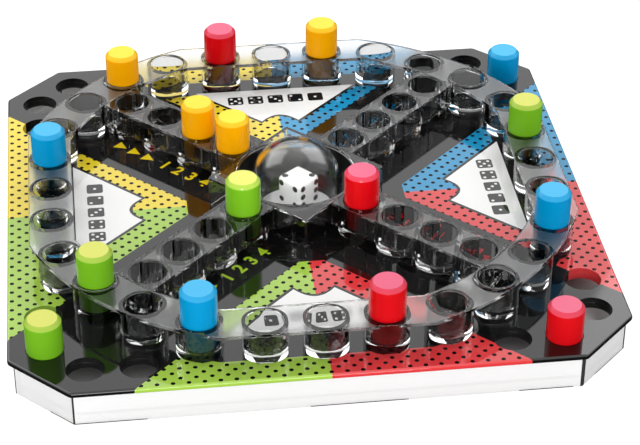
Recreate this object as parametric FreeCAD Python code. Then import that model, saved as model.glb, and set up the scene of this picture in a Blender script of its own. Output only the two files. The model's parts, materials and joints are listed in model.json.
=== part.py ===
import FreeCAD, Part
import math
import os

# Dice-popper board game: a square black deck on a clear tray, a clear raised track with
# pegs, four finish lanes, and a spring-loaded clear dome with one die in the middle.
# Frame: +Z up, origin at the middle of the face the game rests on, +X right, +Y back.
# All sizes are in millimetres.

V = FreeCAD.Vector
UP = V(0, 0, 1)

# ---- driving dimensions ------------------------------------------------------------
BOARD = 260.0            # width and depth of the square deck
CORNER_CUT = 24.7        # length cut off each side of the square at a corner
CORNER_ROUND = 3.0       # radius of the deck's eight outline corners
DECK_TOP = 17.5          # height of the playing surface
DECK_THICK = 2.5
PAD_DEPTH = 2.9          # extra thickness round the home holes

SKIRT_INSET = 2.3        # the tray's wall stands this far inside the deck's edge
SKIRT_WALL = 1.8
TRAY_FLOOR_TOP = 5.3
TRAY_FLOOR_THICK = 1.5

HOLE_R = 8.05            # every hole for a peg
HOLE_CLEAR = 0.25        # radial gap round a peg
HOLE_WALL = 2.3          # least material between a home hole and the pad's side
PEG_ABOVE = 15.4         # height of a peg above the mouth of its hole
PEG_BEVEL, PEG_BEVEL_DEEP = 1.7, 1.6   # bevel round a peg's top: inwards, and down

TRACK_RISE = 14.8        # track, lanes and centre frame above the deck
TRACK_PLATE = 1.7        # thickness of their top plates
CUP_BOTTOM = 2.6         # material under a peg in the ring and the lanes
RING_MARGIN = 10.5       # from the deck's edge to the ring's straight outer sides
RING_WIDE = 19.3         # width of the ring on its straight sides
BEND_OUT = 8.0           # the ring's bends reach this much further than its sides
BEND_WIDE = 19.1         # width of the ring in its bends
CELL_WIDTH = 19.0        # a cup of the ring, along the ring
CELL_STEP = 25.06        # spacing of the three cups on a straight side
BEND_DEG = (25.9, 38.65) # the cups in a bend, seen from the middle of the board
START_RIM_WALL, START_RIM_RISE = 1.15, 1.0

LANE_HALF = 10.3         # half the width of a finish lane
LANE_WALL = 1.3
LANE_WALL_GAP = 3.4      # from the deck to the lower edge of the lanes' walls
LANE_CUP_WALL = 1.3
LANE_HOLES = 4
LANE_END_WALL = 0.8      # material between the lane's ends and its first and last holes

HOME_EDGE = 15.1         # from the deck's edge to the two outer home holes of a corner
HOME_EDGE_MID = 15.4     # and to the two middle ones
HOME_REACH = (53.2, 31.4)  # from the other edge of the corner to the same holes

FRAME_HALF = 39.8        # half-diagonal of the centre frame
FRAME_WALL = 1.0
COLLAR_WALL = 0.9        # black collar that stands round the dome, inside the frame
COLLAR_CLEAR = 0.15      # radial gap between the collar and the frame's opening
COLLAR_LOW = 0.6         # the collar ends this far below the frame's top

DOME_R, DOME_WALL = 20.9, 2.1
DOME_RISE = 9.3          # centre of the dome's sphere above the deck
DOME_BANDS_OUT, DOME_BANDS_IN = 6, 4
DOME_CLEAR = 0.5         # radial gap between the dome and the deck's hole
FLANGE_WIDE, FLANGE_THICK = 4.1, 1.6
SKIRT_DOWN = 3.5         # from the deck's underside to the popper floor
FLOOR_THICK = 1.0
HOUSING_CLEAR, HOUSING_WALL, HOUSING_FLOOR = 1.2, 1.8, 1.0
SPRING_WIDE, SPRING_THICK = 12.0, 0.6

DIE_EDGE, DIE_ROUND = 14.0, 1.1
DIE_X, DIE_Y, DIE_TURN = 2.0, 7.65, 40.0

# ---- derived sizes -----------------------------------------------------------------
DECK_UNDER = DECK_TOP - DECK_THICK
TRACK_TOP = DECK_TOP + TRACK_RISE
PEG_R = HOLE_R - HOLE_CLEAR
CUP_FLOOR = DECK_TOP + CUP_BOTTOM                    # a peg stands on this level
PEG_LENGTH = TRACK_TOP - CUP_FLOOR + PEG_ABOVE
TRAY_FLOOR_UNDER = TRAY_FLOOR_TOP - TRAY_FLOOR_THICK
RING_OUT = BOARD / 2 - RING_MARGIN
RING_IN = RING_OUT - RING_WIDE
RING_MID = RING_OUT - RING_WIDE / 2
RING_OUT_R = RING_OUT + BEND_OUT
RING_IN_R = RING_OUT_R - BEND_WIDE
BEND_MID = RING_OUT_R - BEND_WIDE / 2
FRAME_SIDE = FRAME_HALF / math.sqrt(2)               # from the middle to a side
FRAME_OPEN_R = FRAME_SIDE - FRAME_WALL
COLLAR_R = FRAME_OPEN_R - COLLAR_CLEAR
LANE_FIRST = FRAME_SIDE + LANE_END_WALL + HOLE_R
LANE_LAST = RING_IN_R - LANE_END_WALL - HOLE_R
LANE_PITCH = (LANE_LAST - LANE_FIRST) / (LANE_HOLES - 1)
DOME_CENTRE = DECK_TOP + DOME_RISE
DECK_HOLE_R = DOME_R + DOME_CLEAR
FLANGE_R = DOME_R + FLANGE_WIDE
FLOOR_TOP = DECK_UNDER - SKIRT_DOWN
FLOOR_UNDER = FLOOR_TOP - FLOOR_THICK
WELL_R = FLANGE_R + HOUSING_CLEAR
WELL_BOTTOM = TRAY_FLOOR_TOP + HOUSING_FLOOR
SPRING_HALF = DOME_R - 1.0

# ---- places on the board -----------------------------------------------------------
# Quarter 0 is the front one; the others follow it round counterclockwise.


def turn(x, y, quarter):
    for _ in range(quarter % 4):
        x, y = -y, x
    return x, y


def ring_cells():
    """(quarter, place in the quarter, x, y, turn in degrees) of the 28 cups."""
    cells = []
    for quarter in range(4):
        for k in (-1, 0, 1):
            cells.append((quarter, k, *turn(k * CELL_STEP, -RING_MID, quarter), 90 * quarter))
        for k, degrees in zip((2, 3), BEND_DEG):
            for side in (1, -1):
                a = math.radians(side * degrees)
                x, y = BEND_MID * math.sin(a), -BEND_MID * math.cos(a)
                cells.append((quarter, side * k, *turn(x, y, quarter), 90 * quarter + side * degrees))
    return cells


def lane_holes(corner):
    """Centres of one lane's holes, from the middle outwards. Corner 0 is front right."""
    places = []
    for i in range(LANE_HOLES):
        d = (LANE_FIRST + i * LANE_PITCH) / math.sqrt(2)
        places.append(turn(d, -d, corner))
    return places


def home_holes(corner):
    """The four home holes of one corner, in the order a, b, c, d round the corner."""
    outer, middle = BOARD / 2 - HOME_EDGE, BOARD / 2 - HOME_EDGE_MID
    far, near = BOARD / 2 - HOME_REACH[0], BOARD / 2 - HOME_REACH[1]
    local = ((outer, -far), (middle, -near), (near, -middle), (far, -outer))
    return [turn(x, y, corner) for x, y in local]


# ---- small helpers -----------------------------------------------------------------
def cylinder(r, z0, z1, x=0.0, y=0.0):
    return Part.makeCylinder(r, z1 - z0, V(x, y, z0), UP)


def prism(points, z0, z1):
    wire = Part.makePolygon([V(x, y, z0) for x, y in points + points[:1]])
    return Part.Face(wire).extrude(V(0, 0, z1 - z0))


def lathe(points):
    """Turn a closed outline of (radius, height) points about the Z axis."""
    wire = Part.makePolygon([V(r, 0, z) for r, z in points + points[:1]])
    return Part.Face(wire).revolve(V(0, 0, 0), UP, 360)


def octagon(half, cut):
    """Outline of a square with its corners cut off."""
    k = half - cut
    return [(half, -k), (half, k), (k, half), (-k, half), (-half, k), (-half, -k), (-k, -half), (k, -half)]


def fuse_all(shapes):
    first, rest = shapes[0], shapes[1:]
    return first.fuse(rest).removeSplitter() if rest else first


def spun(shape, degrees):
    copy = shape.copy()
    copy.rotate(V(0, 0, 0), UP, degrees)
    return copy


def quarters(shape):
    return [spun(shape, 90 * q) for q in range(4)]


# ---- deck --------------------------------------------------------------------------
def home_pad():
    """Outline of the thicker area round the home holes of the front right corner."""
    edge = BOARD / 2 - SKIRT_INSET - SKIRT_WALL - 0.5     # clear of the tray's wall
    cut = CORNER_CUT - (BOARD / 2 - edge) * (2 - math.sqrt(2))
    inner = BOARD / 2 - HOME_EDGE - HOLE_R - HOLE_WALL
    end = BOARD / 2 - HOME_REACH[0] - HOLE_R - HOLE_WALL
    bend = inner - (HOME_REACH[0] - HOME_REACH[1]) / 1.5
    half = [(edge, -end), (inner, -end), (inner, -bend)]
    mirrored = [(-y, -x) for x, y in reversed(half)]
    return half + mirrored + [(edge - cut, -edge), (edge, cut - edge)]


def make_deck():
    plate = prism(octagon(BOARD / 2, CORNER_CUT), DECK_UNDER, DECK_TOP)
    upright = [e for e in plate.Edges if e.BoundBox.ZLength > DECK_THICK / 2]
    plate = plate.makeFillet(CORNER_ROUND, upright)
    pads = quarters(prism(home_pad(), DECK_UNDER - PAD_DEPTH, DECK_UNDER))
    cuts = [cylinder(DECK_HOLE_R, DECK_UNDER - 1, DECK_TOP + 1)]
    for corner in range(4):
        for x, y in home_holes(corner):
            cuts.append(cylinder(HOLE_R, DECK_UNDER - PAD_DEPTH - 1, DECK_TOP + 1, x, y))
    return fuse_all([plate] + pads).cut(cuts)


# ---- clear tray under the deck -----------------------------------------------------
def tray_outline(inset):
    return octagon(BOARD / 2 - inset, CORNER_CUT - inset * (2 - math.sqrt(2)))


def make_tray():
    inner = tray_outline(SKIRT_INSET + SKIRT_WALL)
    tray = prism(tray_outline(SKIRT_INSET), 0, DECK_UNDER)
    tray = tray.cut(prism(inner, TRAY_FLOOR_TOP, DECK_UNDER + 1))
    return tray.cut(prism(inner, -1, TRAY_FLOOR_UNDER))


# ---- ring of cups ------------------------------------------------------------------
def ring_outline(half, radius, z0, z1):
    square = Part.makeBox(2 * half, 2 * half, z1 - z0, V(-half, -half, z0))
    return square.common(cylinder(radius, z0, z1))


def make_ring_quarter(quarter):
    """One quarter of the ring, from diagonal to diagonal."""
    reach = 2 * BOARD
    wedge = spun(prism([(0, 0), (reach, -reach), (-reach, -reach)], 0, TRACK_TOP + 5), 90 * quarter)
    band = ring_outline(RING_OUT, RING_OUT_R, DECK_TOP, TRACK_TOP)
    band = band.cut(ring_outline(RING_IN, RING_IN_R, DECK_TOP - 1, TRACK_TOP + 1))
    band = band.common(wedge)
    plate_zone = Part.makeBox(2 * BOARD, 2 * BOARD, TRACK_PLATE, V(-BOARD, -BOARD, TRACK_TOP - TRACK_PLATE))
    pieces = [band.common(plate_zone)]
    rims = []
    bores = []
    half = CELL_WIDTH / 2
    for q, k, x, y, degrees in ring_cells():
        if q != quarter:
            continue
        block = Part.makeBox(CELL_WIDTH, 2 * CELL_WIDTH, TRACK_RISE, V(-half, -CELL_WIDTH, DECK_TOP))
        block.rotate(V(0, 0, 0), UP, degrees)
        block.translate(V(x, y, 0))
        pieces.append(block.common(band))
        if k == 3:
            rims.append(cylinder(HOLE_R + START_RIM_WALL, TRACK_TOP, TRACK_TOP + START_RIM_RISE, x, y))
        bores.append(cylinder(HOLE_R, CUP_FLOOR, TRACK_TOP + START_RIM_RISE + 1, x, y))
    return fuse_all(pieces + rims).cut(bores)


def make_track_ring():
    return Part.makeCompound([make_ring_quarter(q) for q in range(4)])


# ---- finish lanes ------------------------------------------------------------------
def make_lane():
    """The lane towards +X: a top plate with side walls, over four thin cups on the deck."""
    def bar(half, z0, z1):
        return Part.makeBox(RING_IN_R, 2 * half, z1 - z0, V(FRAME_SIDE, -half, z0))

    shell = bar(LANE_HALF, DECK_TOP + LANE_WALL_GAP, TRACK_TOP)
    shell = shell.cut(bar(LANE_HALF - LANE_WALL, DECK_TOP - 1, TRACK_TOP - TRACK_PLATE))
    cups, bores = [], []
    for i in range(LANE_HOLES):
        x = LANE_FIRST + i * LANE_PITCH
        cups.append(cylinder(HOLE_R + LANE_CUP_WALL, DECK_TOP, TRACK_TOP - TRACK_PLATE, x, 0))
        bores.append(cylinder(HOLE_R, CUP_FLOOR, TRACK_TOP + 1, x, 0))
    zone = bar(LANE_HALF, DECK_TOP, TRACK_TOP).common(cylinder(RING_IN_R, DECK_TOP, TRACK_TOP))
    return fuse_all([shell] + cups).cut(bores).common(zone)


def make_finish_lanes():
    return Part.makeCompound([spun(make_lane(), 45 + 90 * q) for q in range(4)])


# ---- centre frame over the dome ----------------------------------------------------
def make_centre_frame():
    half = FRAME_HALF
    inner = half - FRAME_WALL * math.sqrt(2)
    outer = [(half, 0), (0, half), (-half, 0), (0, -half)]
    hollow = [(inner, 0), (0, inner), (-inner, 0), (0, -inner)]
    frame = prism(outer, DECK_TOP, TRACK_TOP)
    frame = frame.cut(prism(hollow, DECK_TOP - 1, TRACK_TOP - TRACK_PLATE))
    return frame.cut(cylinder(FRAME_OPEN_R, TRACK_TOP - TRACK_PLATE - 1, TRACK_TOP + 1))


# ---- popper ------------------------------------------------------------------------
def make_popper_collar():
    """A black tube round the dome, on the deck and inside the centre frame."""
    top = TRACK_TOP - COLLAR_LOW
    return cylinder(COLLAR_R, DECK_TOP, top).cut(cylinder(COLLAR_R - COLLAR_WALL, DECK_TOP - 1, top + 1))


def make_popper_housing():
    """A cup between the tray floor and the deck, closed by both."""
    wall = WELL_R + HOUSING_WALL
    return lathe([
        (0, TRAY_FLOOR_TOP), (wall, TRAY_FLOOR_TOP), (wall, DECK_UNDER), (WELL_R, DECK_UNDER),
        (WELL_R, WELL_BOTTOM), (0, WELL_BOTTOM),
    ])


def quarter_circle(radius, centre, count):
    """Points of a quarter circle, from its widest point up to the axis."""
    step = math.pi / 2 / count
    side = [(radius * math.cos(i * step), centre + radius * math.sin(i * step)) for i in range(count)]
    return side + [(0, centre + radius)]


def make_dome():
    flange_under = DECK_UNDER - FLANGE_THICK
    outside = [
        (DOME_R, FLOOR_TOP), (DOME_R, flange_under), (FLANGE_R, flange_under),
        (FLANGE_R, DECK_UNDER), (DOME_R, DECK_UNDER),
    ]
    outside += quarter_circle(DOME_R, DOME_CENTRE, DOME_BANDS_OUT)
    inner = DOME_R - DOME_WALL
    inside = quarter_circle(inner, DOME_CENTRE, DOME_BANDS_IN)[::-1]
    return lathe(outside + inside + [(inner, FLOOR_TOP)])


def make_popper_floor():
    return cylinder(DOME_R, FLOOR_UNDER, FLOOR_TOP)


def make_bow_spring():
    """A strip of spring steel bowed between the housing and the popper floor."""
    t = SPRING_THICK

    def bow(top, half):
        return Part.Arc(V(-half, 0, WELL_BOTTOM), V(0, 0, top), V(half, 0, WELL_BOTTOM)).toShape()

    def foot(side):
        x0, x1 = side * (SPRING_HALF - t), side * SPRING_HALF
        return Part.makeLine(V(x0, 0, WELL_BOTTOM), V(x1, 0, WELL_BOTTOM))

    edges = [bow(FLOOR_UNDER - t, SPRING_HALF - t), foot(1), bow(FLOOR_UNDER, SPRING_HALF), foot(-1)]
    strip = Part.Face(Part.Wire(Part.__sortEdges__(edges))).extrude(V(0, SPRING_WIDE, 0))
    strip.translate(V(0, -SPRING_WIDE / 2, 0))
    return strip


def make_die():
    half = DIE_EDGE / 2
    cube = Part.makeBox(DIE_EDGE, DIE_EDGE, DIE_EDGE, V(-half, -half, FLOOR_TOP))
    die = spun(cube.makeChamfer(DIE_ROUND, cube.Edges), DIE_TURN)
    die.translate(V(DIE_X, DIE_Y, 0))
    return die


# ---- pegs --------------------------------------------------------------------------
def make_peg(x, y, z):
    shoulder = z + PEG_LENGTH - PEG_BEVEL_DEEP
    top = Part.makeCone(PEG_R, PEG_R - PEG_BEVEL, PEG_BEVEL_DEEP, V(x, y, shoulder), UP)
    return fuse_all([cylinder(PEG_R, z, shoulder, x, y), top])


def ring_place(quarter, k):
    for q, kk, x, y, _ in ring_cells():
        if (q, kk) == (quarter, k):
            return x, y, CUP_FLOOR
    raise ValueError("no such cup")


def lane_place(corner, index):
    return (*lane_holes(corner)[index], CUP_FLOOR)


def home_place(corner, index):
    return (*home_holes(corner)[index], TRAY_FLOOR_TOP)


# Corners: 0 front right, 1 back right, 2 back left, 3 front left.
PEGS = {
    "peg_yellow_1": ring_place(2, 3),
    "peg_yellow_2": ring_place(2, -1),
    "peg_yellow_3": lane_place(2, 0),
    "peg_yellow_4": lane_place(2, 1),
    "peg_red_1": ring_place(2, 1),
    "peg_red_2": ring_place(0, 1),
    "peg_red_3": lane_place(0, 0),
    "peg_red_4": home_place(0, 2),
    "peg_green_1": ring_place(1, 1),
    "peg_green_2": ring_place(3, 3),
    "peg_green_3": lane_place(3, 0),
    "peg_green_4": home_place(3, 2),
    "peg_blue_1": ring_place(1, -2),
    "peg_blue_2": ring_place(0, -2),
    "peg_blue_3": ring_place(3, -1),
    "peg_blue_4": home_place(1, 2),
}

NODES = {
    "base_tray": make_tray,
    "deck": make_deck,
    "track_ring": make_track_ring,
    "finish_lanes": make_finish_lanes,
    "centre_frame": make_centre_frame,
    "popper_housing": make_popper_housing,
    "popper_collar": make_popper_collar,
    "popper_dome": make_dome,
    "popper_floor": make_popper_floor,
    "bow_spring": make_bow_spring,
    "die": make_die,
}

os.makedirs("parts", exist_ok=True)
for name, make in NODES.items():
    make().exportStep("parts/" + name + ".step")
for name, (x, y, z) in PEGS.items():
    make_peg(x, y, z).exportStep("parts/" + name + ".step")
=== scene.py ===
import json
import math

import bmesh
import bpy
from mathutils import Matrix, Vector

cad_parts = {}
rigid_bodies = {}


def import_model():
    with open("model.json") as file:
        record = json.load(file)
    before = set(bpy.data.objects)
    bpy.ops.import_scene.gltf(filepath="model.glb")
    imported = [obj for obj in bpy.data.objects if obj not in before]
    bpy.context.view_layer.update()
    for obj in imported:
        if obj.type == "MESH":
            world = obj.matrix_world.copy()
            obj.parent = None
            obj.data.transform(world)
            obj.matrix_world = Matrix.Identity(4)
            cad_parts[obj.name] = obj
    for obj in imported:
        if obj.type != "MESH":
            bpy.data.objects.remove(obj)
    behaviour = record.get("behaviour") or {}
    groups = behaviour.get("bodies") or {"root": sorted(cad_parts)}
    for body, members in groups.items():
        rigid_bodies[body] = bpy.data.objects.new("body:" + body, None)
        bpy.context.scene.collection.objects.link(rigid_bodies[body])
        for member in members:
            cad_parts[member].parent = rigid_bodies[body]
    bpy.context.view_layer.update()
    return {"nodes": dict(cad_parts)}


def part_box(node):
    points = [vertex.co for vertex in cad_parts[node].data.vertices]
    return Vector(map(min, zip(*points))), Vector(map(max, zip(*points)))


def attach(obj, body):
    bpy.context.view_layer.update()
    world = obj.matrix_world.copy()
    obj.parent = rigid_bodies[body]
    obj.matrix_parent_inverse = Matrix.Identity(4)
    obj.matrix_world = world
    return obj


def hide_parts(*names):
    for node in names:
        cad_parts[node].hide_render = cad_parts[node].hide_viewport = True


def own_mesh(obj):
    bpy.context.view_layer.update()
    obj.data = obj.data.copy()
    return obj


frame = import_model()

MM = 0.001

# ---- places and sizes, in millimetres ----------------------------------------------
HAIR = 0.01       # faces that would lie in one plane are kept this far apart
OVERLAP = 0.5     # solids that are joined reach this far into each other
BEYOND = 5.0      # a cutting solid reaches this far past what it cuts

deck_low, deck_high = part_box("deck")
dome_low, dome_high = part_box("popper_dome")
_, ring_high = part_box("track_ring")
_, lane_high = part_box("finish_lanes")
ring_peg_low, ring_peg_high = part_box("peg_yellow_1")
well_low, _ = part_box("popper_housing")

BOARD = (deck_high.x - deck_low.x) / MM
DECK_TOP = deck_high.z / MM
DECK_THICK, PAD_DEPTH = 2.5, 2.9
DECK_UNDER = DECK_TOP - DECK_THICK
PAD_UNDER = DECK_UNDER - PAD_DEPTH
CORNER_CUT, CORNER_ROUND, RIM = 24.7, 3.0, 1.0
CUT_PER_INSET = 2 - math.sqrt(2)    # a corner cut shortens by this much per millimetre of inset
HOLE_R = 8.05
HOME_EDGE, HOME_EDGE_MID, HOME_REACH = 15.1, 15.4, (53.2, 31.4)
PAD_INSET, PAD_WALL, PAD_BEND = 4.6, 2.3, 1.5
DOME_HOLE_CLEAR = 0.5

TRACK_TOP = lane_high.z / MM
TRACK_PLATE = 1.7
PLATE_UNDER = TRACK_TOP - TRACK_PLATE
PLATE_BEVEL = 0.35
CUP_FLOOR = ring_peg_low.z / MM
CUP_FOOT = DECK_TOP + 2 * HAIR
RING_OUT = ring_high.x / MM
RING_WIDE, BEND_OUT, BEND_WIDE = 19.3, 8.0, 19.1
RING_IN = RING_OUT - RING_WIDE
RING_MID = RING_OUT - RING_WIDE / 2
RING_OUT_R = RING_OUT + BEND_OUT
RING_IN_R = RING_OUT_R - BEND_WIDE
BEND_MID = RING_OUT_R - BEND_WIDE / 2
CELL_STEP, BEND_DEG = 25.06, (25.9, 38.65)
CELL_WIDTH, CELL_DEEP, CUP_ROUND = 19.0, 18.6, 8.0
START_RIM_R, START_RIM_BEVEL, START_RIM_TOP = 9.2, 0.25, ring_high.z / MM

FRAME_HALF, FRAME_WALL, FRAME_ROUND = 39.8, 1.0, 1.0
FRAME_SIDE = FRAME_HALF / math.sqrt(2)
FRAME_OPEN_R, FRAME_RIM_R = FRAME_SIDE - 1.0, FRAME_SIDE - 0.6
LANE_HALF, LANE_WALL, LANE_WALL_GAP, LANE_CUP_R = 10.3, 1.3, 3.4, 10.6
LANE_END_WALL, LANE_END_GAP = 0.8, 0.05
LANE_FIRST = FRAME_SIDE + LANE_END_WALL + HOLE_R
LANE_PITCH = (RING_IN_R - LANE_END_WALL - HOLE_R - LANE_FIRST) / 3
SEAM_OUT, SEAM_IN, SEAM_DEEP = 0.6, 0.25, 0.7

TRAY_FLOOR_TOP = well_low.z / MM
TRAY_FLOOR_THICK, TRAY_INSET, TRAY_WALL = 1.5, 2.3, 1.8
TRAY_HALF = BOARD / 2 - TRAY_INSET
TRAY_CORNER = TRAY_HALF - CORNER_CUT + TRAY_INSET * CUT_PER_INSET

DOME_R, DOME_WALL = 20.9, 2.1
DOME_CENTRE = dome_high.z / MM - DOME_R
FLANGE_THICK = 1.6
DIE_EDGE, DIE_ROUND = 14.0, 2.0
DIE_X, DIE_Y, DIE_TURN = 2.0, 7.65, 40.0
PIP_R, PIP_AT = 1.45, 4.3
SPRING_THICK, PRESS_DEPTH = 0.6, 3.0

PEG_LENGTH = (ring_peg_high.z - ring_peg_low.z) / MM
PEG_STEP = TRACK_TOP - CUP_FLOOR
PEG_COLOURS = ("yellow", "red", "green", "blue")
# The colours of the corners: front right, back right, back left, front left.
CORNER_COLOURS = ("red", "blue", "yellow", "green")


def turn(x, y, quarter):
    """A point turned about the middle by quarter turns."""
    for _ in range(quarter % 4):
        x, y = -y, x
    return x, y


def ring_cells():
    """(place in the quarter, x, y, turn in degrees) of the 28 cups."""
    cells = []
    for quarter in range(4):
        for k in (-1, 0, 1):
            cells.append((k, *turn(k * CELL_STEP, -RING_MID, quarter), 90 * quarter))
        for k, degrees in zip((2, 3), BEND_DEG):
            for side in (1, -1):
                a = math.radians(side * degrees)
                x, y = BEND_MID * math.sin(a), -BEND_MID * math.cos(a)
                cells.append((side * k, *turn(x, y, quarter), 90 * quarter + side * degrees))
    return cells


def lane_holes():
    """(x, y) of the holes of the finish lanes, four to a lane."""
    places = []
    for corner in range(4):
        for i in range(4):
            d = (LANE_FIRST + i * LANE_PITCH) / math.sqrt(2)
            places.append(turn(d, -d, corner))
    return places


def home_holes():
    """(x, y) of the home holes, four to a corner."""
    outer, middle = BOARD / 2 - HOME_EDGE, BOARD / 2 - HOME_EDGE_MID
    far, near = BOARD / 2 - HOME_REACH[0], BOARD / 2 - HOME_REACH[1]
    local = ((outer, -far), (middle, -near), (near, -middle), (far, -outer))
    return [turn(x, y, corner) for corner in range(4) for x, y in local]


# ---- node helpers ------------------------------------------------------------------
class Field:
    """A number that varies over a surface, built from math nodes."""

    def __init__(self, tree, socket):
        self.tree, self.socket = tree, socket

    def make(self, operation, *values):
        node = self.tree.nodes.new("ShaderNodeMath")
        node.operation = operation
        for slot, value in zip(node.inputs, values):
            if isinstance(value, Field):
                self.tree.links.new(value.socket, slot)
            else:
                slot.default_value = value
        return Field(self.tree, node.outputs[0])

    def __add__(self, other):
        return self.make("ADD", self, other)

    def __sub__(self, other):
        return self.make("SUBTRACT", self, other)

    def __mul__(self, other):
        return self.make("MULTIPLY", self, other)

    def __gt__(self, other):
        return self.make("GREATER_THAN", self, other)

    def __lt__(self, other):
        return self.make("LESS_THAN", self, other)

    def abs(self):
        return self.make("ABSOLUTE", self)

    def sign(self):
        return self.make("SIGN", self)

    def round(self):
        return self.make("ROUND", self)

    def sqrt(self):
        return self.make("SQRT", self)

    def max(self, other):
        return self.make("MAXIMUM", self, other)

    def min(self, other):
        return self.make("MINIMUM", self, other)

    def flip(self):
        """1 where a mask is 0, and 0 where it is 1."""
        return self * -1.0 + 1.0

    def mix(self, other, where):
        """self, or other where the mask is 1."""
        return self * where.flip() + where * other

    def grey(self):
        """The number as a colour."""
        node = self.tree.nodes.new("ShaderNodeCombineColor")
        for slot in node.inputs[:3]:
            self.tree.links.new(self.socket, slot)
        return node.outputs[0]


def new_material(name):
    mat = bpy.data.materials.new(name)
    mat.use_nodes = True
    tree = mat.node_tree
    return mat, tree, tree.nodes["Principled BSDF"]


def object_field(tree):
    """The x, y and z fields of a surface point, in millimetres."""
    coords = tree.nodes.new("ShaderNodeTexCoord")
    split = tree.nodes.new("ShaderNodeSeparateXYZ")
    tree.links.new(coords.outputs["Object"], split.inputs[0])
    return [Field(tree, split.outputs[i]) * (1 / MM) for i in range(3)]


def noise_node(tree, scale):
    coords = tree.nodes.new("ShaderNodeTexCoord")
    noise = tree.nodes.new("ShaderNodeTexNoise")
    noise.inputs["Scale"].default_value = scale
    noise.inputs["Detail"].default_value = 2.0
    tree.links.new(coords.outputs["Object"], noise.inputs["Vector"])
    return noise


def noise_bump(tree, shader, scale, strength, distance):
    noise = noise_node(tree, scale)
    bump = tree.nodes.new("ShaderNodeBump")
    bump.inputs["Strength"].default_value = strength
    bump.inputs["Distance"].default_value = distance
    tree.links.new(noise.outputs["Fac"], bump.inputs["Height"])
    tree.links.new(bump.outputs["Normal"], shader.inputs["Normal"])
    return noise


def varied_colour(tree, shader, noise, colour, spread):
    """A slight variation of the colour over the piece, as moulded plastic has."""
    ramp = tree.nodes.new("ShaderNodeValToRGB")
    darker, lighter = ramp.color_ramp.elements
    darker.position, lighter.position = 0.35, 0.65
    darker.color = (*[c * (1 - spread) for c in colour], 1)
    lighter.color = (*[min(1, c * (1 + spread)) for c in colour], 1)
    tree.links.new(noise.outputs["Fac"], ramp.inputs["Fac"])
    tree.links.new(ramp.outputs["Color"], shader.inputs["Base Color"])


def light_path(tree, kind):
    """One of the numbers of the Light Path node, such as "Is Camera Ray"."""
    return Field(tree, tree.nodes.new("ShaderNodeLightPath").outputs[kind])


# ---- materials ---------------------------------------------------------------------
def gloss_plastic(name, colour, roughness=0.18, coat=0.0, spread=0.03):
    mat, tree, shader = new_material(name)
    noise = noise_bump(tree, shader, scale=90.0, strength=0.05, distance=0.0004)
    varied_colour(tree, shader, noise, colour, spread)
    shader.inputs["Roughness"].default_value = roughness
    shader.inputs["IOR"].default_value = 1.5
    shader.inputs["Coat Weight"].default_value = coat
    shader.inputs["Coat Roughness"].default_value = 0.05
    return mat


def peg_plastic(name, colour):
    mat = gloss_plastic(name, colour, roughness=0.2, spread=0.01)
    mat.node_tree.nodes["Principled BSDF"].inputs["Specular IOR Level"].default_value = 0.15
    return mat


FACE_LIGHT = 0.97    # share of the light that passes one face of the clear plastic
PLATE_LIGHT, WALL_LIGHT = 0.9, 0.35    # and of the track's plates and upright walls


def clear_plastic(name, shade=(0.97, 0.98, 0.98), clear=1.0, plate_light=FACE_LIGHT,
                  wall_light=FACE_LIGHT, roughness=0.0):
    """Polished clear plastic. Lamps and scattered light pass through it."""
    mat, tree, shader = new_material(name)
    noise_bump(tree, shader, scale=30.0, strength=0.01, distance=0.0002)
    shader.inputs["Base Color"].default_value = (*shade, 1)
    shader.inputs["Transmission Weight"].default_value = clear
    shader.inputs["Roughness"].default_value = roughness
    shader.inputs["IOR"].default_value = 1.49
    through = tree.nodes.new("ShaderNodeBsdfTransparent")
    geometry = tree.nodes.new("ShaderNodeNewGeometry")
    normal = tree.nodes.new("ShaderNodeSeparateXYZ")
    tree.links.new(geometry.outputs["Normal"], normal.inputs[0])
    flat = Field(tree, normal.outputs[2]).abs() > 0.7
    light = flat * (plate_light - wall_light) + wall_light
    tree.links.new(light.grey(), through.inputs["Color"])
    soft_ray = light_path(tree, "Is Shadow Ray").max(light_path(tree, "Is Diffuse Ray"))
    mix = tree.nodes.new("ShaderNodeMixShader")
    tree.links.new(soft_ray.socket, mix.inputs["Fac"])
    tree.links.new(shader.outputs[0], mix.inputs[1])
    tree.links.new(through.outputs[0], mix.inputs[2])
    tree.links.new(mix.outputs[0], tree.nodes["Material Output"].inputs["Surface"])
    return mat


def track_plastic(name, **look):
    return clear_plastic(name, plate_light=PLATE_LIGHT, wall_light=WALL_LIGHT, **look)


# The tray's clarity and colour and the colour of its painted shade lines, their half widths at the
# left and right corners, and the height and noise level of the painted shade dashes along the foot.
TRAY_CLEAR, TRAY_SHADE, TRAY_PAINTED_SHADE_LINE = 0.1, 0.9, 0.04
SHADE_LINE_HALF_LEFT, SHADE_LINE_HALF_RIGHT = 0.4, 0.9
FOOT_SHADE_LINE, FOOT_SHADE_LINE_FROM = 0.45, 0.47


def tray_plastic():
    """Milky clear plastic with painted shade: dark lines along its upright corners, wider on the
    right, and dark dashes along its foot.
    """
    mat = clear_plastic("clear_tray", shade=(TRAY_SHADE,) * 3, clear=TRAY_CLEAR)
    tree = mat.node_tree
    x, y, z = object_field(tree)
    # Painted shade: dark lines along the upright corners, wider on the right, and dark dashes set
    # by noise along the foot.
    line = (x > 0.0) * (SHADE_LINE_HALF_RIGHT - SHADE_LINE_HALF_LEFT) + SHADE_LINE_HALF_LEFT
    corner = (x.abs().min(y.abs()) - TRAY_CORNER).abs() < line
    noise = noise_node(tree, 14.0)
    foot = (z < FOOT_SHADE_LINE) * (Field(tree, noise.outputs["Fac"]) > FOOT_SHADE_LINE_FROM)
    shade = corner.max(foot) * (TRAY_PAINTED_SHADE_LINE - TRAY_SHADE) + TRAY_SHADE
    tree.links.new(shade.grey(), tree.nodes["Principled BSDF"].inputs["Base Color"])
    return mat


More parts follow.
